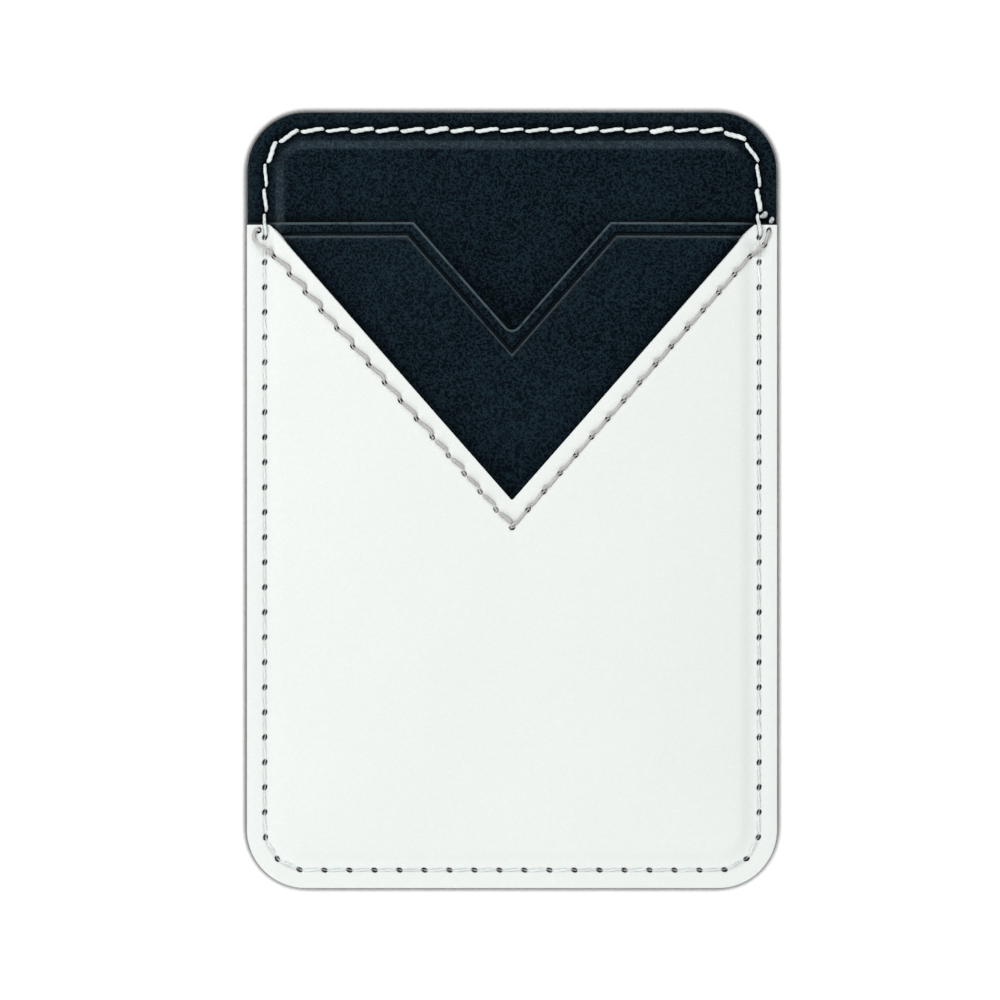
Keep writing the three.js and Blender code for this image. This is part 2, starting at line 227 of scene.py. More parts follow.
def plane(name, width, height, place):
    """A flat sheet at its size and place, in edit mode with all of it selected."""
    deselect()
    bpy.ops.mesh.primitive_plane_add(size=1)
    sheet = named(name)
    edit(sheet)
    bpy.ops.mesh.select_all(action="SELECT")
    bpy.ops.transform.resize(value=(width, height, 1))
    bpy.ops.transform.translate(value=place)
    return sheet


def slice_along(piece, point, normal, test=lambda face: True):
    """Cuts the faces that a test holds for along a plane."""
    edit(piece, "FACE")
    pick(piece, test, "faces")
    bpy.ops.mesh.bisect(plane_co=point, plane_no=normal, use_fill=False, threshold=1e-7)


def apply(piece, kind, **settings):
    activate(piece)
    modifier = piece.modifiers.new(kind.title(), kind)
    for key, value in settings.items():
        setattr(modifier, key, value)
    bpy.ops.object.modifier_apply(modifier=modifier.name)


def twin_of(model):
    """A copy of a model with its own mesh."""
    twin = model.copy()
    twin.data = model.data.copy()
    bpy.context.scene.collection.objects.link(twin)
    return twin


def join(pieces, name):
    activate(pieces[0])
    for piece in pieces:
        piece.select_set(True)
    bpy.ops.object.join()
    return named(name)


def finish(piece, slot, material, *replaced):
    """Gives a finished piece its material, and puts it on the frame."""
    activate(piece)
    piece.data.materials.clear()
    piece.data.materials.append(material)
    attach(piece, BODY)
    if replaced:
        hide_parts(*replaced)
    return piece


# Shape of the sheets

def sewn_inset(x, y):
    """Distance from the three sewn sides of a pocket."""
    radius = sizes().corner_radius
    side = WIDTH / 2 - abs(x)
    bottom = y + HEIGHT / 2
    if side < radius and bottom < radius:
        return radius - math.hypot(radius - side, radius - bottom)
    return min(side, bottom)


def rim_inset(x, y):
    """Distance from all four sides of the back."""
    return min(sewn_inset(x, y), sewn_inset(x, -y))


def ease(share):
    share = min(max(share, 0.0), 1.0)
    return share * share * (3 - 2 * share)


def rounded(share):
    """A straight rise from 0 to 1 with both of its ends rounded."""
    soft = BEVEL_SOFTNESS
    if share < soft:
        return max(share, 0.0) ** 2 / (2 * soft)
    if share > 1 - soft:
        return 1 - max(1 - share, 0.0) ** 2 / (2 * soft)
    return soft / 2 + (share - soft) * (1 - soft) / (1 - 2 * soft)


def lining_height(x, y):
    """Height of the lining's upper face: the sewn rim, a bevel and the raised middle."""
    size = sizes()
    rise = rounded((rim_inset(x, y) - size.bevel_start) / (size.bevel_end - size.bevel_start))
    return size.lining_rim + (LINING_HIGH.z - size.lining_rim) * rise


def pocket_height(x, y, rim, shoulder, middle):
    """Height of a pocket's upper face: flat in the seam, a shoulder, then a shallow crown."""
    size = sizes()
    inset = sewn_inset(x, y)
    if inset <= size.flat_end:
        return rim
    rise = ease((inset - size.flat_end) / (size.bevel_end - size.flat_end))
    soft = size.crown_softness
    ways = (WIDTH / 2 - x, WIDTH / 2 + x, y + HEIGHT / 2)
    smooth = -soft * math.log(sum(math.exp(-way / soft) for way in ways))
    share = min(max((min(smooth, inset) - size.bevel_end) / size.crown_run, 0.0), 1.0)
    return rim + (shoulder - rim) * rise + (middle - shoulder) * (1 - (1 - share) ** 2)


def inner_height(x, y):
    size = sizes()
    thickness = size.inner_thickness
    shoulder = LINING_HIGH.z + size.shoulder_gap + thickness
    return pocket_height(x, y, INNER_LOW.z + thickness, shoulder, INNER_HIGH.z)


def front_height(x, y):
    size = sizes()
    inner_shoulder = LINING_HIGH.z + size.shoulder_gap + size.inner_thickness
    shoulder = inner_shoulder + size.shoulder_gap + size.front_thickness
    return pocket_height(x, y, FRONT_LOW.z + size.front_thickness, shoulder, FRONT_HIGH.z)


def blank(name, top):
    """Flat sheet with the holder's outline, rounded at the bottom, and at the top if full height."""
    bottom = -HEIGHT / 2
    sheet = plane(name, WIDTH, top - bottom, (0, (top + bottom) / 2, 0))
    full = top > HEIGHT / 2 - TINY
    pick(sheet, lambda corner: full or corner.co.y < 0)
    bpy.ops.mesh.bevel(offset=sizes().corner_radius, segments=18, affect="VERTICES")
    return sheet


def inset_faces(steps):
    for step in steps:
        bpy.ops.mesh.inset(thickness=step, depth=0, use_even_offset=True)


def ring(sheet, steps):
    """Insets the whole sheet in steps, which leaves a ring of faces for each."""
    edit(sheet, "FACE")
    bpy.ops.mesh.select_all(action="SELECT")
    inset_faces(steps)


def lines_to(end):
    """Insets from a side up to an end, close in the rim and wider in the middle."""
    insets = list(POCKET_INSETS)
    while insets[-1] + LINE_SPACING < end:
        insets.append(insets[-1] + LINE_SPACING)
    return insets


def grid(sheet, top):
    """Cuts lines parallel to the sewn sides."""
    for inset in lines_to(WIDTH / 2):
        for sign in (-1, 1):
            slice_along(sheet, (sign * (WIDTH / 2 - inset), 0, 0), (1, 0, 0))
    slice_along(sheet, (0, 0, 0), (1, 0, 0))
    for inset in lines_to(HEIGHT / 2 + top):
        slice_along(sheet, (0, inset - HEIGHT / 2, 0), (0, 1, 0))


def weld_border(sheet):
    """Merges near points on a flat sheet's border, which hold back its rounding and leave thin faces."""
    edit(sheet)
    pick(sheet, lambda corner: corner.is_boundary)
    bpy.ops.mesh.remove_doubles(threshold=WELD_GAP)
    leave_edit()


def raise_to(sheet, height):
    activate(sheet)
    for vertex in sheet.data.vertices:
        vertex.co.z = height(vertex.co.x, vertex.co.y)


def thicken(sheet, thickness, edge=1.0):
    """Gives a sheet its thickness downwards, and rounds its edges by a share of edge_ease or not at all."""
    apply(sheet, "SOLIDIFY", thickness=thickness, offset=-1, use_even_offset=True)
    if edge:
        apply(
            sheet, "BEVEL", width=edge * sizes().edge_ease, segments=3, limit_method="ANGLE",
            angle_limit=SHARP_ANGLE,
        )


def smooth(sheet, degrees=30):
    activate(sheet)
    bpy.ops.object.shade_smooth_by_angle(angle=math.radians(degrees))


# Seams

def edge_seam_length():
    size = sizes()
    radius = size.corner_radius - size.seam_inset
    straight = 2 * (WIDTH + HEIGHT - 4 * size.corner_radius)
    return straight + 2 * math.pi * radius


def edge_seam_point(distance):
    """Point and direction at a distance along the edge seam, from the middle of the top."""
    size = sizes()
    radius = size.corner_radius - size.seam_inset
    x = WIDTH / 2 - size.corner_radius
    y = HEIGHT / 2 - size.corner_radius
    quarter = math.pi * radius / 2
    runs = [
        ((0, y + radius), math.pi, x, False),
        ((-x, y), math.pi / 2, quarter, True),
        ((-x - radius, y), -math.pi / 2, 2 * y, False),
        ((-x, -y), math.pi, quarter, True),
        ((-x, -y - radius), 0, 2 * x, False),
        ((x, -y), -math.pi / 2, quarter, True),
        ((x + radius, -y), math.pi / 2, 2 * y, False),
        ((x, y), 0, quarter, True),
        ((x, y + radius), math.pi, x, False),
    ]
    distance %= edge_seam_length()
    for start, angle, run, bends in runs:
        if distance <= run:
            break
        distance -= run
    if bends:
        angle += distance / radius
        place = Vector(start) + radius * Vector((math.cos(angle), math.sin(angle)))
        return place, angle + math.pi / 2
    return Vector(start) + distance * Vector((math.cos(angle), math.sin(angle))), angle


def edge_seam_holes():
    total = edge_seam_length()
    count = round(total / sizes().stitch_pitch)
    return [edge_seam_point((index + 0.5) * total / count) for index in range(count)]


def v_slope():
    size = sizes()
    return math.atan2(size.v_depth, size.v_half_width)


def v_seam_point():
    """Height of the point of the V seam."""
    size = sizes()
    return FRONT_HIGH.y - size.v_depth - size.v_seam_inset / math.cos(v_slope())


def notch_slope():
    size = sizes()
    return math.atan2(size.notch_depth, size.notch_half_width)


def crease_point():
    """Height of the point of the pressed crease."""
    size = sizes()
    return INNER_HIGH.y - size.notch_depth - size.crease_inset / math.cos(notch_slope())


def v_seam_holes():
    """Needle holes of the V seam, from its left end down to the point and up to its right end."""
    slope = v_slope()
    point = Vector((0, v_seam_point()))
    holes = []
    for index in range(-V_STITCHES, V_STITCHES + 1):
        sign = 1 if index > 0 else -1
        reach = abs(index) * sizes().v_stitch_pitch
        place = point + reach * Vector((sign * math.cos(slope), math.sin(slope)))
        angle = -slope if index < 0 else slope
        holes.append((place, 0.0 if index == 0 else angle))
    return holes


def v_end_holes():
    """Needle holes where the V seam's ends turn up into the tabs."""
    return [
        (Vector((-31.0, 33.0)) * MM, 1.2),
        (Vector((30.95, 31.25)) * MM, 0.9),
        (Vector((31.5, 33.0)) * MM, 1.3),
    ]


def needle_plug(long, wide):
    """One needle hole: a slot with a flared mouth, its mouth at height zero."""
    deselect()
    bpy.ops.mesh.primitive_cylinder_add(vertices=12, radius=0.5, depth=1)
    plug = named("needle_plug")
    deep = 6 * MM
    edit(plug)
    bpy.ops.mesh.select_all(action="SELECT")
    bpy.ops.transform.resize(value=(long, wide, deep))
    bpy.ops.transform.translate(value=(0, 0, -deep / 2 - 0.14 * MM))
    edit(plug, "FACE")
    pick(plug, lambda face: face.normal.z > 0.9, "faces")
    for rise, spread in ((0.08 * MM, 1.12), (0.07 * MM, 1.22), (0.3 * MM, 1.0)):
        bpy.ops.mesh.extrude_region_move(TRANSFORM_OT_translate={"value": (0, 0, rise)})
        bpy.ops.transform.resize(value=(spread, spread, 1))
    leave_edit()
    return plug


def punch(sheet, holes, face, down=False, slant=-EDGE_SLANT, share=1.0):
    """Cuts needle holes into a sheet, flared at the face that the thread lies on."""
    plug = needle_plug(share * sizes().hole_length, share * sizes().hole_width)
    flip = Matrix.Rotation(math.pi, 4, "X") if down else Matrix.Identity(4)
    plugs = []
    for place, angle in holes:
        twin = twin_of(plug)
        turn = Matrix.Rotation(angle + slant, 4, "Z")
        move = Matrix.Translation((place.x, place.y, face(place.x, place.y)))
        twin.data.transform(move @ turn @ flip)
        plugs.append(twin)
    tools = join(plugs, "needle_plugs")
    apply(sheet, "BOOLEAN", operation="DIFFERENCE", object=tools, solver="EXACT")
    bpy.data.objects.remove(tools)
    bpy.data.objects.remove(plug)


# Thread

def thread_profile(name):
    """Three plies seen end on, as a closed curve."""
    deselect()
    bpy.ops.curve.primitive_bezier_circle_add(radius=sizes().thread_radius)
    profile = named(name)
    profile.data.splines.clear()
    spline = profile.data.splines.new("POLY")
    spline.points.add(11)
    for index, point in enumerate(spline.points):
        angle = math.tau * index / 12
        reach = sizes().thread_radius * (0.9 + 0.1 * math.cos(3 * angle))
        point.co = (reach * math.cos(angle), reach * math.sin(angle), 0, 1)
    spline.use_cyclic_u = True
    return profile


def thread_run(name, points, profile):
    """A twisted thread through points with a thickness each, made a mesh."""
    deselect()
    bpy.ops.curve.primitive_bezier_curve_add()
    run = named(name)
    run.data.splines.clear()
    spline = run.data.splines.new("BEZIER")
    spline.bezier_points.add(len(points) - 1)
    for index, (knot, place) in enumerate(zip(spline.bezier_points, points)):
        knot.co = Vector(place[:3]) * MM
        knot.handle_left_type = knot.handle_right_type = "AUTO"
        knot.tilt = math.tau * PLY_TURNS * index / (len(points) - 1)
        knot.radius = place[3]
    run.data.dimensions = "3D"
    run.data.resolution_u = CURVE_STEPS
    run.data.bevel_mode = "OBJECT"
    run.data.bevel_object = profile
    run.data.use_fill_caps = True
    activate(run)
    bpy.ops.object.convert(target="MESH")
    edit(run)
    bpy.ops.mesh.select_all(action="SELECT")
    bpy.ops.mesh.remove_doubles(threshold=1e-6)
    bpy.ops.mesh.normals_make_consistent(inside=False)
    bpy.ops.object.mode_set(mode="OBJECT")
    return run


def laid_run(name, points, profile, support):
    """A thread through points given over what is under it."""
    run = thread_run(name, points, profile)
    for vertex in run.data.vertices:
        vertex.co.z += support(vertex.co.x, vertex.co.y)
    return run


def lay_stitches(model_of, holes, closed, support, name, rng, down=False, extra=()):
    """Lays one stitch between each pair of needle holes, on what is under it."""
    pairs = len(holes) if closed else len(holes) - 1
    flip = Matrix.Diagonal((1, 1, -1, 1)) if down else Matrix.Identity(4)
    made = list(extra)
    for index in range(pairs):
        start = holes[index][0]
        end = holes[(index + 1) % len(holes)][0]
        chord = end - start
        twin = twin_of(model_of(index))
        stretch = Matrix.Diagonal((chord.length / MODEL_PITCH, 1 + rng.uniform(-0.25, 0.25), 1, 1))
        turn = Matrix.Rotation(math.atan2(chord.y, chord.x), 4, "Z")
        twin.data.transform(Matrix.Translation((start.x, start.y, 0)) @ turn @ flip @ stretch)
        if down:
            twin.data.flip_normals()
        for vertex in twin.data.vertices:
            vertex.co.z += support(vertex.co.x, vertex.co.y)
        made.append(twin)
    thread = join(made, name)
    smooth(thread, 60)
    return thread


def edge_support(x, y):
    """What the edge thread lies on: the back above the pockets, and the front pocket below them."""
    size = sizes()
    high = FRONT_LOW.z + size.front_thickness - PRESSED_IN
    share = ease((y - FRONT_HIGH.y) / DRAPE_RUN)
    return high + (size.lining_rim - high) * share


# Materials

class Nodes:
    """Short way to add and link the nodes of one material."""

    def __init__(self, name):
        self.material = bpy.data.materials.new(name)
        self.material.use_nodes = True
        self.tree = self.material.node_tree
        self.tree.nodes.clear()
        self.column = 0

    def add(self, kind, inputs=None, **settings):
        node = self.tree.nodes.new("ShaderNode" + kind)
        node.location = (self.column * 180, 0)
        self.column += 1
        for key, value in settings.items():
            setattr(node, key, value)
        for key, value in (inputs or {}).items():
            if isinstance(value, bpy.types.NodeSocket):
                self.tree.links.new(value, node.inputs[key])
            else:
                node.inputs[key].default_value = value
        return node

    def math(self, operation, first, second=0.0, third=0.0, clamp=False):
        values = {0: first, 1: second, 2: third}
        return self.add("Math", values, operation=operation, use_clamp=clamp).outputs[0]

    def millimetres(self):
        place = self.add("TexCoord").outputs["Object"]
        scale = (1 / MM, 1 / MM, 1 / MM)
        return self.add("Mapping", {"Vector": place, "Scale": scale}).outputs[0]

    def warp(self, place, scale, amount):
        noise = self.add("TexNoise", {"Vector": place, "Scale": scale, "Detail": 2.0})
        centred = self.add(
            "VectorMath", {0: noise.outputs["Color"], 1: (0.5, 0.5, 0.5)}, operation="SUBTRACT",
        )
        moved = self.add("VectorMath", {0: centred.outputs[0], "Scale": amount}, operation="SCALE")
        return self.add("VectorMath", {0: place, 1: moved.outputs[0]}).outputs[0]

    def blend(self, share, first, second):
        mix = self.add("Mix", {"Factor": share}, data_type="RGBA")
        for socket, value in (("A", first), ("B", second)):
            target = [item for item in mix.inputs if item.name == socket and item.type == "RGBA"][0]
            if isinstance(value, bpy.types.NodeSocket):
                self.tree.links.new(value, target)
            else:
                target.default_value = (*value, 1.0)
        return [item for item in mix.outputs if item.type == "RGBA"][0]

    def rescale(self, value, low, high, to_low=0.0, to_high=1.0):
        inputs = {"Value": value, 1: low, 2: high, 3: to_low, 4: to_high}
        return self.add("MapRange", inputs, interpolation_type="SMOOTHSTEP").outputs[0]

    def band(self, value, rise, fall):
        """One between a rise and a fall of the value, and zero outside them."""
        return self.math("MULTIPLY", self.rescale(value, *rise), self.rescale(value, *fall, 1.0, 0.0))

    def hypotenuse(self, first, second):
        squares = [self.math("MULTIPLY", side, side) for side in (first, second)]
        return self.math("SQRT", self.math("ADD", *squares))

    def close(self, shader):
        self.add("OutputMaterial", {"Surface": shader})
        return self.material

    def surface(self, base, roughness, bump, extra=None):
        inputs = {"Base Color": base, "Roughness": roughness, "Normal": bump.outputs[0]}
        return self.close(self.add("BsdfPrincipled", {**inputs, **(extra or {})}).outputs[0])


def seam_distance(nodes, place):
    """Distance from the edge seam's line in millimetres, as a socket."""
    size = sizes()
    radius = size.corner_radius / MM
    split = nodes.add("SeparateXYZ", {0: place})
    wide, tall = (
        nodes.math("SUBTRACT", nodes.math("ABSOLUTE", split.outputs[axis]), side / MM / 2 - radius)
        for axis, side in enumerate((WIDTH, HEIGHT))
    )
    outside = nodes.hypotenuse(nodes.math("MAXIMUM", wide, 0.0), nodes.math("MAXIMUM", tall, 0.0))
    inside = nodes.math("MINIMUM", nodes.math("MAXIMUM", wide, tall), 0.0)
    line = nodes.math("ADD", outside, inside)
    offset = radius - size.seam_inset / MM
    return nodes.math("ABSOLUTE", nodes.math("SUBTRACT", line, offset))


def over_v(nodes, split, point, slope):
    """Distance above a V with its point at a height, in millimetres, as a socket."""
    up = nodes.math("SUBTRACT", split.outputs[1], point / MM)
    up = nodes.math("MULTIPLY", up, math.cos(slope))
    out = nodes.math("MULTIPLY", nodes.math("ABSOLUTE", split.outputs[0]), math.sin(slope))
    return nodes.math("SUBTRACT", up, out)


def v_distance(nodes, place):
    """Distance from the V seam's line in millimetres, as a socket."""
    split = nodes.add("SeparateXYZ", {0: place})
    return nodes.math("ABSOLUTE", over_v(nodes, split, v_seam_point(), v_slope()))


def crease_distance(nodes, place):
    """Distance from the pressed crease in millimetres, more towards the pocket's edge, as a socket."""
    split = nodes.add("SeparateXYZ", {0: place})
    level = (INNER_HIGH.y - sizes().crease_inset) / MM
    notch = over_v(nodes, split, crease_point(), notch_slope())
    return nodes.math("MAXIMUM", notch, nodes.math("SUBTRACT", split.outputs[1], level))


def cut_distance(nodes, place, line):
    """Distance from the inner pocket's cut edge in millimetres, round its notch too, as a socket."""
    size = sizes()
    slope = notch_slope()
    radius = size.notch_round / MM
    centre = (INNER_HIGH.y - size.notch_depth) / MM + radius / math.cos(slope)
    split = nodes.add("SeparateXYZ", {0: place})
    down = nodes.math("SUBTRACT", centre, split.outputs[1])
    across = nodes.math("ABSOLUTE", split.outputs[0])
    round_off = nodes.math("SUBTRACT", nodes.hypotenuse(down, across), radius)
    beside = nodes.math("GREATER_THAN", nodes.math("MULTIPLY", down, math.tan(slope)), across)
    straight = nodes.math("SUBTRACT", size.crease_inset / MM, line)
    gap = nodes.math("SUBTRACT", round_off, straight)
    return nodes.math("MULTIPLY_ADD", gap, beside, straight)


def highlight_patches(nodes, place):
    """Soft uneven noise that breaks up the painted highlight, as a socket."""
    return nodes.add("TexNoise", {"Vector": place, "Scale": 0.9, "Detail": 2.0}).outputs[0]


def leather(name, dark, light, finish_of):
    """Fine grained synthetic leather: veins, cells, pores, soft tones and the pull of the seams, with
    painted shade beside the seams, in the needle holes and where ambient occlusion finds it hemmed in, a
    painted highlight on steep faces of black, and on creased black a painted highlight and shade along the
    crease and cut edge.
    """
    nodes = Nodes(name)
    place = nodes.millimetres()
    cell = finish_of["cell"]
    bent = nodes.warp(place, 0.9 / cell, 0.55 * cell)
    cells = nodes.add(
        "TexVoronoi", {"Vector": bent, "Scale": 0.8 / cell, "Randomness": 1.0},
        feature="DISTANCE_TO_EDGE",
    )
    pebble = nodes.rescale(cells.outputs["Distance"], 0.0, 0.32)
    fold = nodes.add("TexNoise", {"Vector": bent, "Scale": 0.9 / cell, "Detail": 1.0, "Roughness": 0.5})
    middle = nodes.math("ABSOLUTE", nodes.math("SUBTRACT", fold.outputs[0], 0.5))
    veins = nodes.rescale(middle, 0.0, 0.1, 1.0, 0.0)
    pores = nodes.add("TexNoise", {"Vector": place, "Scale": 3.0 / cell, "Detail": 2.0})
    cloud = nodes.add("TexNoise", {"Vector": place, "Scale": 0.09, "Detail": 3.0})
    grain = nodes.math("MULTIPLY_ADD", veins, 0.66, nodes.math("MULTIPLY", pebble, 0.2))
    height = nodes.math("MULTIPLY_ADD", pores.outputs[0], 0.3, grain)
    near = nodes.rescale(seam_distance(nodes, place), 0.15, 1.15, 1.0, 0.0)
    white = "painted_groove_shade" in finish_of
    if white:
        near = nodes.math("MAXIMUM", near, nodes.rescale(v_distance(nodes, place), 0.1, 0.9, 0.8, 0.0))
    dent = nodes.math("MULTIPLY_ADD", near, -finish_of["pull"], height)
    bump = nodes.add("Bump", {"Height": dent, "Distance": finish_of["relief"] * MM, "Strength": 1.0})
    speck = nodes.math("SUBTRACT", nodes.math("MULTIPLY_ADD", pores.outputs[0], 0.38, grain), 0.17)
    cloudy = nodes.math(
        "MULTIPLY_ADD", nodes.math("SUBTRACT", cloud.outputs[0], 0.5), finish_of["tone"], speck,
    )
    # Painted shade: the colour darkens beside the seams, where their dent lies.
    shade = nodes.math("MULTIPLY_ADD", near, -0.2, cloudy, clamp=True)
    base = nodes.blend(shade, dark, light)
    side = nodes.add("SeparateXYZ", {0: nodes.add("NewGeometry").outputs["Normal"]})
    if white:
        # Painted shade: a grey band right beside the edge seam's thread on white leather.
        painted_groove_shade = nodes.rescale(seam_distance(nodes, place), 0.14, 0.34, 1.0, 0.0)
        base = nodes.blend(nodes.math("MULTIPLY", painted_groove_shade, 0.6), base, finish_of["painted_groove_shade"])
    if "painted_highlight" in finish_of:
        line = crease_distance(nodes, place)
        # Painted shade: the crease's upper wall, on its side towards the pocket's edge, is darkened.
        base = nodes.blend(nodes.band(line, (-0.02, 0.08), (0.3, 0.5)), base, finish_of["pressed"])
        # Painted highlight: a light band on the crease's lower wall and along the pocket's cut edge, broken
        # up by soft noise.
        painted_highlight = nodes.band(line, (-0.36, -0.26), (-0.16, -0.04))
        edge_highlight = nodes.rescale(cut_distance(nodes, place, line), 0.2, 0.32, 1.0, 0.0)
        highlight_share = nodes.math("MAXIMUM", nodes.math("MULTIPLY", painted_highlight, 0.75), edge_highlight)
        highlight_share = nodes.math("MULTIPLY", highlight_share, nodes.rescale(highlight_patches(nodes, place), 0.3, 0.5, 0.45, 1.0))
        base = nodes.blend(highlight_share, base, finish_of["painted_highlight"])
    # Steep faces take another tone: on black a lighter one, a painted highlight on cut edges and walls; on
    # white, near the seams, a dark one, painted shade in the needle holes.
    steep = nodes.rescale(
        nodes.math("ABSOLUTE", side.outputs[2]), finish_of["wall_from"], finish_of["wall_to"], 1.0, 0.0,
    )
    wall_highlight_and_shade = nodes.math("MULTIPLY", steep, finish_of["wall_share"])
    wall_highlight_and_shade_tone = finish_of["wall_highlight_and_shade"]
    painted_shade_tone = tuple(0.15 * value for value in dark)
    if white:
        wall_highlight_and_shade = nodes.math("MULTIPLY", wall_highlight_and_shade, nodes.rescale(near, 0.6, 0.78))
        # Near the V seam the painted shade in the holes and from ambient occlusion takes a paler tone.
        away = nodes.rescale(v_distance(nodes, place), 0.5, 0.8)
        wall_highlight_and_shade_tone = nodes.blend(away, finish_of["v_hole_shade"], wall_highlight_and_shade_tone)
        painted_shade_tone = nodes.blend(away, finish_of["v_hole_shade"], painted_shade_tone)
    base = nodes.blend(wall_highlight_and_shade, base, wall_highlight_and_shade_tone)
    # Painted shade: where ambient occlusion finds nearby surfaces, the colour darkens towards a shade tone.
    contact = nodes.add("AmbientOcclusion", {"Distance": finish_of["contact"] * MM}, samples=3)
    open_share = nodes.rescale(contact.outputs["AO"], finish_of["contact_from"], finish_of["contact_to"])
    base = nodes.blend(open_share, painted_shade_tone, base)
    roughness = finish_of["roughness"]
    gloss = nodes.rescale(speck, 0.0, 1.0, roughness + 0.06, roughness - 0.06)
    shine = {"Specular IOR Level": finish_of["specular"], "Specular Tint": (*finish_of["shine"], 1.0)}
    return nodes.surface(base, gloss, bump, shine)


def thread_material(name, base, painted_shade_tone):
    """Waxed polyester thread: fine fibres along the twist, with painted shade between the plies and in the
    needle holes.
    """
    nodes = Nodes(name)
    place = nodes.millimetres()
    fibre = nodes.add("TexNoise", {"Vector": place, "Scale": 9.0, "Detail": 3.0, "Roughness": 0.65})
    drift = nodes.add("TexNoise", {"Vector": place, "Scale": 0.7, "Detail": 1.0})
    fibre_share = nodes.math("MULTIPLY", fibre.outputs[0], 0.6)
    shade = nodes.math("MULTIPLY_ADD", drift.outputs[0], 0.5, fibre_share)
    dark = tuple(0.78 * value for value in base)
    unshaded_tone = nodes.blend(nodes.rescale(shade, 0.3, 0.75), dark, tuple(base))
    # Painted shade: the thread's colour darkens where ambient occlusion finds it hemmed in, as in the
    # needle holes.
    deep = nodes.add("AmbientOcclusion", {"Distance": 0.7 * MM}, samples=3)
    tone = nodes.blend(nodes.rescale(deep.outputs["AO"], 0.12, 0.42), painted_shade_tone, unshaded_tone)
    bump = nodes.add("Bump", {"Height": fibre.outputs[0], "Distance": 0.03 * MM, "Strength": 0.7})
    shine = {"Specular IOR Level": 0.35, "Sheen Weight": 0.15, "Sheen Roughness": 0.5}
    return nodes.surface(tone, 0.55, bump, shine)


def hidden_material(name, base, finish_of):
    """Finish of a piece on the hidden side, with one fine pattern in its tone and relief."""
    nodes = Nodes(name)
    inputs = {"Vector": nodes.millimetres(), **finish_of["pattern"]}
    pattern = nodes.add(finish_of["kind"], inputs).outputs[0]
    dark = tuple(finish_of["dark"] * value for value in base)
    tone = nodes.blend(nodes.rescale(pattern, *finish_of["span"]), dark, tuple(base))
    relief, strength = finish_of["relief"]
    bump = nodes.add("Bump", {"Height": pattern, "Distance": relief * MM, "Strength": strength})
    roughness = finish_of["roughness"]
    if isinstance(roughness, tuple):
        roughness = nodes.rescale(pattern, 0.3, 0.7, *roughness)
    return nodes.surface(tone, roughness, bump)


# Distances in the finishes are in millimetres
PAPER_FINISH = {
    "kind": "TexNoise", "pattern": {"Scale": 1.6, "Detail": 5.0, "Roughness": 0.7},
    "dark": 0.86, "span": (0.35, 0.65), "relief": (0.02, 0.5), "roughness": (0.42, 0.3),
}
FOAM_FINISH = {
    "kind": "TexVoronoi", "pattern": {"Scale": 5.0},
    "dark": 0.7, "span": (0.1, 0.6), "relief": (0.05, 0.8), "roughness": 0.85,
}
BOARD_FINISH = {
    "kind": "TexNoise", "pattern": {"Scale": 2.5, "Detail": 6.0, "Distortion": 0.6},
    "dark": 0.6, "span": (0.35, 0.65), "relief": (0.05, 0.6), "roughness": 0.9,
}
BLACK_FINISH = {
    "cell": 0.46, "relief": 0.012, "pull": 6.0, "tone": 0.45, "roughness": 0.33, "specular": 0.13,
    "shine": (0.6, 0.85, 1.0),
    # A lighter tone on steep faces is a painted highlight; ambient occlusion darkens the colour as painted
    # shade.
    "wall_highlight_and_shade": (0.012, 0.020, 0.024), "wall_share": 1.0, "wall_from": 0.6, "wall_to": 0.8,
    "contact": 1.1, "contact_from": 0.6, "contact_to": 0.93,
}
# Creased black: a painted highlight on the crease's lower wall and along the cut edge, and painted shade on
# the crease's upper wall.
CREASED_FINISH = {**BLACK_FINISH, "painted_highlight": (0.062, 0.088, 0.096), "pressed": (0.0002, 0.0006, 0.0012)}
WHITE_FINISH = {
    "cell": 0.42, "relief": 0.008, "pull": 4.0, "tone": 0.8, "roughness": 0.5, "specular": 0.3,
    "shine": (1.0, 1.0, 1.0),
    # Painted shade: dark needle-hole walls, a paler tone of it at the V seam, shade from ambient occlusion
    # and a grey band beside the edge seam.
    "wall_highlight_and_shade": (0.20, 0.14, 0.19), "wall_share": 0.95, "wall_from": 0.2, "wall_to": 0.6,
    "contact": 0.25, "contact_from": 0.3, "contact_to": 0.9,
    "painted_groove_shade": (0.62, 0.64, 0.63), "v_hole_shade": (0.36, 0.33, 0.37),
}
# Painted shade tones of the threads where they run into the needle holes.
EDGE_THREAD_SHADE = (0.15, 0.10, 0.15)
V_THREAD_SHADE = (0.33, 0.30, 0.33)


def black_leather(name="grained_black", finish_of=BLACK_FINISH):
    colours = finishes()
    return bpy.data.materials.get(name) or leather(
        name, tuple(colours.black_dark), tuple(colours.black_light), finish_of,
    )


def white_leather():
    colours = finishes()
    return leather(
        "grained_white", tuple(colours.white_dark), tuple(colours.white_light), WHITE_FINISH,
    )


# Pieces

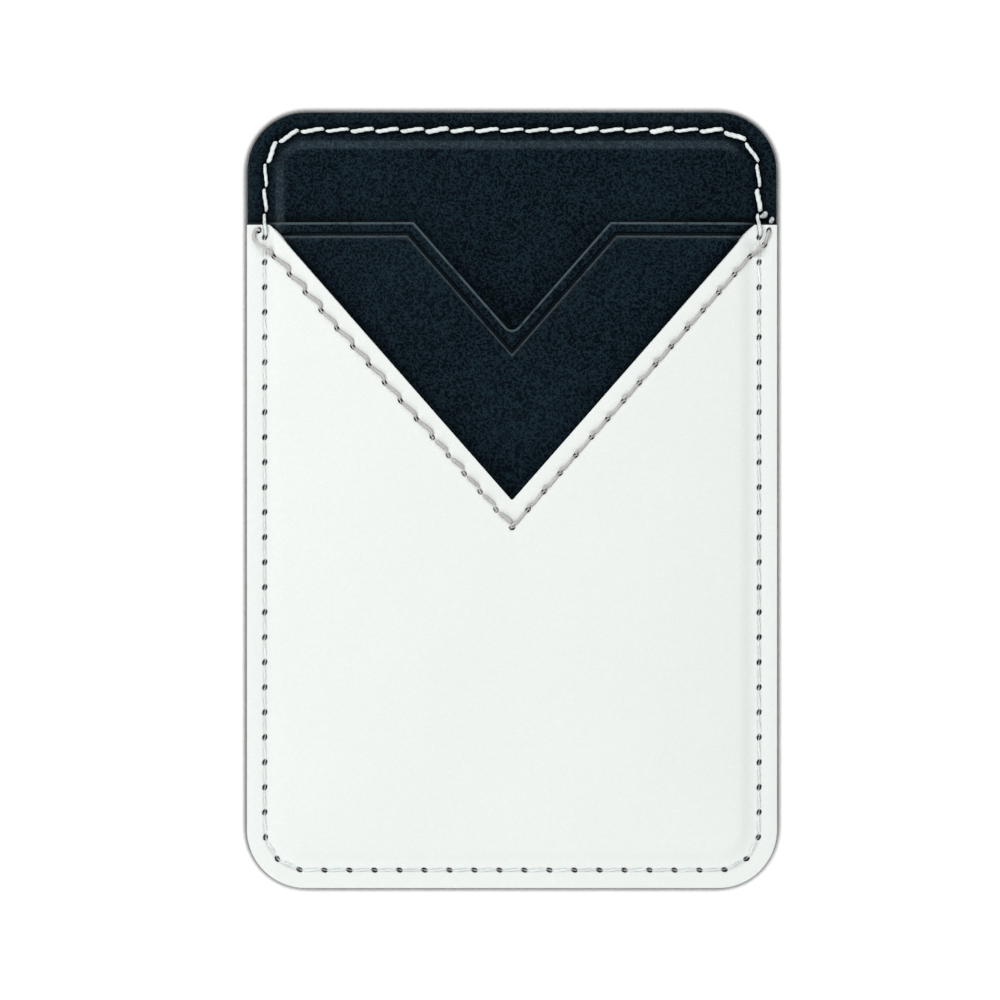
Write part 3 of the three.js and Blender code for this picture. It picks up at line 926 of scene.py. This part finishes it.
class HOLDER_OT_mounting_pad(bpy.types.Operator):
    """Adds the foam pad and the paper over its adhesive"""

    bl_idname = "holder.mounting_pad"
    bl_label = "Mounting pad"

    def plate(self, name, low, high, radius, ease_width):
        plate = plane(name, high.x - low.x, high.y - low.y, (0, 0, low.z))
        bpy.ops.mesh.bevel(offset=radius, segments=8, affect="VERTICES")
        bpy.ops.mesh.select_all(action="SELECT")
        bpy.ops.mesh.extrude_region_move(TRANSFORM_OT_translate={"value": (0, 0, high.z - low.z)})
        bpy.ops.mesh.select_all(action="SELECT")
        bpy.ops.mesh.normals_make_consistent(inside=False)
        apply(plate, "BEVEL", width=ease_width, segments=2, limit_method="ANGLE", angle_limit=1.0)
        smooth(plate)
        return plate

    def execute(self, context):
        radius = sizes().corner_radius
        pad = self.plate("foam_pad", PAD_LOW, PAD_HIGH, radius - PAD_INSET, 0.04 * MM)
        foam = hidden_material("foam", finishes().foam, FOAM_FINISH)
        finish(pad, "adhesive_foam", foam, "adhesive_pad")
        paper = self.plate("release_paper", LINER_LOW, LINER_HIGH, radius - PAPER_INSET, 0.01 * MM)
        coated = hidden_material("release_paper", finishes().liner, PAPER_FINISH)
        finish(paper, "release_liner", coated, "release_liner")
        return {"FINISHED"}


class HOLDER_OT_rear_sheet(bpy.types.Operator):
    """Adds the rear sheet of the back, with its needle holes"""

    bl_idname = "holder.rear_sheet"
    bl_label = "Rear sheet"

    def execute(self, context):
        sheet = blank("rear_sheet", HEIGHT / 2)
        ring(sheet, [1.2 * MM, 2.0 * MM])
        raise_to(sheet, lambda x, y: REAR_HIGH.z)
        thicken(sheet, REAR_HIGH.z - REAR_LOW.z)
        punch(sheet, edge_seam_holes(), lambda x, y: REAR_LOW.z, down=True, slant=EDGE_SLANT)
        smooth(sheet)
        finish(sheet, "black_leather", black_leather(), "rear_panel")
        return {"FINISHED"}


class HOLDER_OT_back_lining(bpy.types.Operator):
    """Adds the lining of the back, moulded over the board"""

    bl_idname = "holder.back_lining"
    bl_label = "Back lining"

    def execute(self, context):
        size = sizes()
        sheet = blank("back_lining", HEIGHT / 2)
        ring(sheet, [1.2 * MM, size.bevel_start - 1.2 * MM - 0.25 * MM, 0.25 * MM])
        edit(sheet, "FACE")
        middle = WIDTH * HEIGHT / 6
        pick(sheet, lambda face: face.calc_area() > middle, "faces")
        inset_faces(BEVEL_STEPS)
        raise_to(sheet, lining_height)
        thicken(sheet, size.lining_thickness)
        punch(sheet, edge_seam_holes(), lambda x, y: size.lining_rim)
        smooth(sheet)
        finish(sheet, "black_leather", black_leather(), "back_panel_lining")
        return {"FINISHED"}


class HOLDER_OT_inner_pocket(bpy.types.Operator):
    """Adds the inner pocket sheet, with its thumb notch and pressed crease"""

    bl_idname = "holder.inner_pocket"
    bl_label = "Inner pocket"

    def execute(self, context):
        size = sizes()
        top = INNER_HIGH.y
        sheet = blank("inner_pocket", top)
        edge_notch(sheet, top, size.notch_half_width, size.notch_depth, size.notch_round)
        grid(sheet, top)
        self.cut_crease(sheet, top)
        weld_border(sheet)
        raise_to(sheet, lambda x, y: inner_height(x, y) - self.crease(x, y))
        thicken(sheet, size.inner_thickness, 0)
        holes = [hole for hole in edge_seam_holes() if hole[0].y < top]
        punch(sheet, holes, lambda x, y: INNER_LOW.z + size.inner_thickness)
        smooth(sheet)
        leather_of = black_leather("creased_black", CREASED_FINISH)
        finish(sheet, "black_leather", leather_of, "inner_pocket_panel")
        return {"FINISHED"}

    def cut_crease(self, sheet, top):
        """Cuts the lines that the pressed crease bends along."""
        size = sizes()
        slope, point, around = notch_slope(), crease_point(), 3 * MM
        level = top - size.crease_inset
        for shift in CREASE_CUTS:
            slice_along(
                sheet, (0, level + shift, 0), (0, 1, 0),
                lambda face: face.calc_center_median().y > level - around,
            )
            for sign in (-1, 1):
                slice_along(
                    sheet, (0, point + shift / math.cos(slope), 0),
                    (-sign * math.sin(slope), math.cos(slope), 0),
                    lambda face: sign * face.calc_center_median().x > -TINY
                    and abs(face.calc_center_median().x) < size.notch_half_width + around
                    and face.calc_center_median().y > point - around,
                )

    def crease(self, x, y):
        """Depth of the pressed line that follows the top edge and the notch."""
        size = sizes()
        slope, point = notch_slope(), crease_point()
        level = y - (INNER_HIGH.y - size.crease_inset)
        notch = (y - point) * math.cos(slope) - abs(x) * math.sin(slope)
        corner = (INNER_HIGH.y - size.crease_inset - point) / math.tan(slope)
        away = notch if abs(x) < corner else level
        run = CREASE_UPPER if away > 0 else CREASE_LOWER
        end = ease((WIDTH / 2 - abs(x) - size.flat_end) / CREASE_END)
        return size.crease_depth * end * max(0.0, 1 - abs(away) / run)


def edge_notch(sheet, top, half_width, depth, rounding):
    """Shapes a V into the sheet's top edge, with a rounded bottom."""
    edit(sheet, "EDGE")
    pick(sheet, lambda edge: all(corner.co.y > top - TINY for corner in edge.verts), "edges")
    bpy.ops.mesh.subdivide(number_cuts=3)
    targets = ((-half_width, top), (0.0, top - depth), (half_width, top))
    mesh = bmesh.from_edit_mesh(sheet.data)
    between = [v for v in mesh.verts if v.co.y > top - TINY and abs(v.co.x) < WIDTH / 2 - TINY]
    for corner, (x, y) in zip(sorted(between, key=lambda item: item.co.x), targets):
        corner.co.x, corner.co.y = x, y
    bmesh.update_edit_mesh(sheet.data)
    slope = math.atan2(depth, half_width)
    bpy.ops.mesh.select_mode(type="VERT")
    pick(sheet, lambda corner: abs(corner.co.x) < TINY and corner.co.y > top - depth - TINY)
    bpy.ops.mesh.bevel(offset=rounding * math.tan(slope), segments=8, affect="VERTICES")


class HOLDER_OT_front_pocket(bpy.types.Operator):
    """Adds the front pocket sheet, with its deep V cut"""

    bl_idname = "holder.front_pocket"
    bl_label = "Front pocket"

    def execute(self, context):
        size = sizes()
        top = FRONT_HIGH.y
        sheet = blank("front_pocket", top)
        edge_notch(sheet, top, size.v_half_width, size.v_depth, size.v_round)
        grid(sheet, top)
        weld_border(sheet)
        raise_to(sheet, front_height)
        thicken(sheet, size.front_thickness, 1.5)
        rim = FRONT_LOW.z + size.front_thickness
        holes = [hole for hole in edge_seam_holes() if hole[0].y < top]
        punch(sheet, holes, lambda x, y: rim)
        punch(sheet, v_seam_holes() + v_end_holes(), front_height, slant=0.0, share=0.9)
        smooth(sheet)
        finish(sheet, "white_leather", white_leather(), "front_pocket_panel")
        return {"FINISHED"}


# Points of each kind of stitch, from hole to hole: along, sideways and up in millimetres, and thickness.
# A stitch lies on black leather, and is sunk into white leather.
STITCH = [
    (0.0, 0.0, -0.66, 0.36), (0.1, -0.04, -0.5, 0.36), (0.2, -0.09, -0.2, 0.55), (0.3, -0.13, 0.1, 0.95),
    (0.5, -0.15, 0.24, 1.1), (1.05, -0.09, 0.28, 1.14), (1.53, 0.0, 0.29, 1.14), (2.01, 0.09, 0.28, 1.14),
    (2.56, 0.15, 0.24, 1.1), (2.76, 0.13, 0.1, 0.95), (2.86, 0.09, -0.2, 0.55), (2.96, 0.04, -0.5, 0.36),
    (3.06, 0.0, -0.66, 0.36),
]
SUNK_STITCH = [
    (0.0, 0.0, -0.5, 0.95), (0.14, -0.03, -0.45, 0.75), (0.34, -0.06, -0.26, 0.42),
    (0.56, -0.07, -0.04, 0.54), (1.0, -0.05, 0.02, 0.62), (1.53, 0.0, 0.04, 0.66),
    (2.06, 0.05, 0.02, 0.62), (2.5, 0.07, -0.04, 0.54), (2.72, 0.06, -0.26, 0.42),
    (2.92, 0.03, -0.45, 0.75), (3.06, 0.0, -0.5, 0.95),
]
HOOKED_STITCH = [
    (0.0, 0.0, -0.5, 0.5), (0.14, 0.0, -0.36, 0.5), (0.3, 0.02, -0.1, 0.6), (0.48, 0.06, 0.1, 0.7),
    (1.0, 0.17, 0.18, 0.74), (1.6, 0.29, 0.19, 0.74), (2.15, 0.39, 0.19, 0.76), (2.5, 0.35, 0.16, 0.78),
    (2.68, 0.2, 0.08, 0.78), (2.82, 0.06, -0.08, 0.68), (2.94, 0.0, -0.36, 0.55), (3.06, 0.0, -0.5, 0.5),
]
GAPPED_STITCH = [
    (0.0, 0.0, -0.2, 1.2), (0.16, 0.0, -0.22, 0.95), (0.42, 0.02, -0.26, 0.5), (0.6, 0.04, -0.02, 0.7),
    (0.82, 0.09, 0.13, 0.86), (1.2, 0.18, 0.16, 0.9), (1.7, 0.27, 0.17, 0.9), (2.15, 0.34, 0.15, 0.9),
    (2.42, 0.33, 0.06, 0.84), (2.6, 0.24, -0.14, 0.6), (2.88, 0.06, -0.22, 0.95), (3.06, 0.0, -0.2, 1.2),
]
KINKED_STITCH = [
    (0.0, 0.0, -0.5, 0.5), (0.1, 0.02, -0.3, 0.55), (0.2, 0.12, 0.03, 0.7), (0.42, 0.22, 0.18, 0.8),
    (0.68, 0.18, 0.22, 0.74), (0.86, 0.02, 0.14, 0.62), (1.2, -0.02, 0.1, 0.56), (1.8, 0.0, 0.1, 0.56),
    (2.4, 0.03, 0.1, 0.62), (2.66, 0.03, 0.04, 0.62), (2.82, 0.0, -0.16, 0.55), (3.06, 0.0, -0.5, 0.5),
]

# Threads where the V seam starts and ends on the tabs, over the edge seam
V_ENDS = [
    [
        (-31.0, 33.0, -0.5, 0.5), (-31.02, 33.06, 0.1, 0.85), (-31.35, 33.1, 0.2, 0.8),
        (-31.62, 32.6, 0.22, 0.82), (-31.5, 31.9, 0.22, 0.82), (-30.9, 31.3, 0.5, 0.82),
        (-30.2, 30.85, 0.62, 0.85), (-29.75, 30.6, 0.4, 0.9), (-29.52, 30.3, 0.25, 1.05),
        (-29.48, 30.05, 0.05, 0.9), (-29.4, 29.85, -0.5, 0.5),
    ],
    [
        (29.35, 29.85, -0.5, 0.5), (29.5, 30.0, 0.05, 0.85), (29.8, 30.35, 0.3, 0.95),
        (30.25, 30.75, 0.6, 0.95), (30.7, 31.1, 0.4, 0.95), (30.85, 31.2, 0.05, 0.85),
        (30.95, 31.25, -0.5, 0.5),
    ],
    [
        (30.95, 31.25, -0.5, 0.5), (31.0, 31.4, 0.1, 0.85), (31.15, 31.9, 0.22, 0.85),
        (31.4, 32.5, 0.24, 0.9), (31.5, 32.85, 0.2, 1.0), (31.5, 33.0, -0.5, 0.5),
    ],
]

# Melted thread ends on the back, above the right tab
MELTED_ENDS = [
    [
        (30.45, 34.75, 0.1, 0.7), (30.75, 34.8, 0.24, 1.3), (31.0, 34.95, 0.3, 1.75),
        (31.1, 35.15, 0.28, 1.55), (31.08, 35.35, 0.16, 0.7),
    ],
    [
        (31.7, 33.95, 0.1, 0.9), (31.82, 34.2, 0.28, 1.3), (31.92, 34.42, 0.3, 1.5),
        (31.95, 34.64, 0.16, 0.8),
    ],
]


class HOLDER_OT_edge_seam(bpy.types.Operator):
    """Adds the two threads of the seam round the edge"""

    bl_idname = "holder.edge_seam"
    bl_label = "Edge seam"

    def execute(self, context):
        rng = random.Random(11)
        holes = edge_seam_holes()
        profile = thread_profile("thread_profile")
        stitch = thread_run("stitch", STITCH, profile)
        material = thread_material("edge_thread", finishes().edge_thread, EDGE_THREAD_SHADE)
        ends = [laid_run("melted_end", points, profile, edge_support) for points in MELTED_ENDS]
        sunk = thread_run("sunk_stitch", SUNK_STITCH, profile)
        on_front = [place.y < FRONT_HIGH.y - DRAPE_MARGIN for place, angle in holes]
        top = lay_stitches(
            lambda index: sunk if on_front[index] and on_front[(index + 1) % len(holes)] else stitch,
            holes, True, edge_support, "edge_thread_top", rng, extra=ends,
        )
        finish(top, "white_thread", material, "perimeter_needle_thread")
        low = lay_stitches(
            lambda index: stitch, holes, True, lambda x, y: REAR_LOW.z + PRESSED_IN,
            "edge_thread_under", rng, down=True,
        )
        finish(low, "white_thread", material, "perimeter_bobbin_thread")
        for spare in (profile, stitch, sunk):
            bpy.data.objects.remove(spare)
        return {"FINISHED"}


class HOLDER_OT_v_seam(bpy.types.Operator):
    """Adds the two threads of the seam along the V"""

    bl_idname = "holder.v_seam"
    bl_label = "V seam"

    def execute(self, context):
        rng = random.Random(23)
        holes = v_seam_holes()
        profile = thread_profile("thread_profile")
        hooked = thread_run("hooked_stitch", HOOKED_STITCH, profile)
        gapped = thread_run("gapped_stitch", GAPPED_STITCH, profile)
        kinked = thread_run("kinked_stitch", KINKED_STITCH, profile)
        plain = thread_run("plain_stitch", STITCH, profile)
        material = thread_material("v_thread", finishes().v_thread, V_THREAD_SHADE)
        ends = [laid_run("v_end", points, profile, front_height) for points in V_ENDS]
        top = lay_stitches(
            lambda index: kinked if index >= V_STITCHES else gapped if index >= GAPPED_FROM else hooked,
            holes, False, front_height, "v_thread_top", rng, extra=ends,
        )
        finish(top, "white_thread", material, "v_seam_needle_thread")
        drop = sizes().front_thickness - V_UNDER_DEPTH
        low = lay_stitches(
            lambda index: plain, holes, False, lambda x, y: front_height(x, y) - drop,
            "v_thread_under", rng, down=True,
        )
        finish(low, "white_thread", material, "v_seam_bobbin_thread")
        for spare in (profile, hooked, gapped, kinked, plain):
            bpy.data.objects.remove(spare)
        return {"FINISHED"}


class HOLDER_OT_inner_board(bpy.types.Operator):
    """Gives the board inside the back its finish"""

    bl_idname = "holder.inner_board"
    bl_label = "Inner board"

    def execute(self, context):
        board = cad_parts["stiffener_board"]
        material = hidden_material("fibre_board", finishes().board, BOARD_FINISH)
        for slot in board.material_slots:
            slot.material = material
        return {"FINISHED"}


class HOLDER_OT_studio(bpy.types.Operator):
    """Adds the floor, the lights and the camera"""

    bl_idname = "holder.studio"
    bl_label = "Studio"

    def execute(self, context):
        self.floor()
        self.world(context)
        for name, (place, sides, power) in LAMPS.items():
            self.light(name, place, sides, power)
        self.camera(context)
        context.scene.view_settings.view_transform = "Standard"
        return {"FINISHED"}

    def floor(self):
        """A white floor with a painted contact shadow, which darkens it only where the holder touches it.
        """
        deselect()
        bpy.ops.mesh.primitive_plane_add(size=FLOOR_SIDE)
        floor = named("floor")
        nodes = Nodes("floor")
        seen = nodes.add("LightPath")
        direct = nodes.math("MAXIMUM", seen.outputs["Is Camera Ray"], seen.outputs["Is Glossy Ray"])
        direct = nodes.math("MAXIMUM", direct, seen.outputs["Is Transmission Ray"])
        # Painted shadow: the floor's glow is dimmed by ambient occlusion next to the holder.
        contact = nodes.add("AmbientOcclusion", {"Distance": 1.3 * MM}, samples=12)
        open_sky = nodes.rescale(contact.outputs["AO"], 0.72, 0.9)
        diffuse = nodes.add("BsdfDiffuse", {"Color": (0.12, 0.12, 0.12, 1.0)})
        power = nodes.math("MULTIPLY", direct, open_sky)
        glow = nodes.add("Emission", {"Color": (1, 1, 1, 1), "Strength": power})
        both = nodes.add("AddShader", {0: diffuse.outputs[0], 1: glow.outputs[0]})
        floor.data.materials.append(nodes.close(both.outputs[0]))

    def world(self, context):
        """A faint light from all round, seen as white."""
        world = bpy.data.worlds.new("studio")
        context.scene.world = world
        world.use_nodes = True
        tree = world.node_tree
        tree.nodes.clear()
        path = tree.nodes.new("ShaderNodeLightPath")
        mix = tree.nodes.new("ShaderNodeMixShader")
        out = tree.nodes.new("ShaderNodeOutputWorld")
        tree.links.new(path.outputs["Is Camera Ray"], mix.inputs[0])
        for socket, strength in ((1, SOFT_LIGHT), (2, 1.0)):
            glow = tree.nodes.new("ShaderNodeBackground")
            glow.inputs["Color"].default_value = (1, 1, 1, 1)
            glow.inputs["Strength"].default_value = strength
            tree.links.new(glow.outputs[0], mix.inputs[socket])
        tree.links.new(mix.outputs[0], out.inputs[0])

    def light(self, name, place, sides, power):
        deselect()
        bpy.ops.object.light_add(type="AREA", location=place)
        lamp = bpy.context.object
        lamp.name = name
        lamp.data.shape = "RECTANGLE"
        lamp.data.size, lamp.data.size_y = sides
        lamp.data.energy = power
        lamp.rotation_euler = (-Vector(place)).to_track_quat("-Z", "Y").to_euler()

    def camera(self, context):
        deselect()
        bpy.ops.object.camera_add(location=CAMERA_PLACE, rotation=(0, 0, 0))
        camera = bpy.context.object
        camera.name = "camera"
        camera.data.sensor_width = SENSOR_WIDTH
        camera.data.lens = SENSOR_WIDTH * (CAMERA_PLACE[2] - SEEN_HEIGHT) / SEEN_WIDTH
        context.scene.camera = camera


class HOLDER_PT_panel(bpy.types.Panel):
    """Steps that build the card holder"""

    bl_idname = "HOLDER_PT_panel"
    bl_label = "Card holder"
    bl_space_type = "VIEW_3D"
    bl_region_type = "UI"
    bl_category = "Card holder"

    def draw(self, context):
        for step in STEPS:
            self.layout.operator(step.bl_idname)


STEPS = (
    HOLDER_OT_mounting_pad,
    HOLDER_OT_rear_sheet,
    HOLDER_OT_inner_board,
    HOLDER_OT_back_lining,
    HOLDER_OT_inner_pocket,
    HOLDER_OT_front_pocket,
    HOLDER_OT_edge_seam,
    HOLDER_OT_v_seam,
    HOLDER_OT_studio,
)
CLASSES = (HOLDER_PG_sizes, HOLDER_PG_finishes, *STEPS, HOLDER_PT_panel)


def register():
    for item in CLASSES:
        bpy.utils.register_class(item)
    bpy.types.Scene.holder_sizes = bpy.props.PointerProperty(type=HOLDER_PG_sizes)
    bpy.types.Scene.holder_finishes = bpy.props.PointerProperty(type=HOLDER_PG_finishes)


def unregister():
    del bpy.types.Scene.holder_finishes
    del bpy.types.Scene.holder_sizes
    for item in reversed(CLASSES):
        bpy.utils.unregister_class(item)


def main():
    register()
    deselect()
    for step in STEPS:
        group, name = step.bl_idname.split(".")
        getattr(getattr(bpy.ops, group), name)()
    leave_edit()


if __name__ == "__main__":
    main()
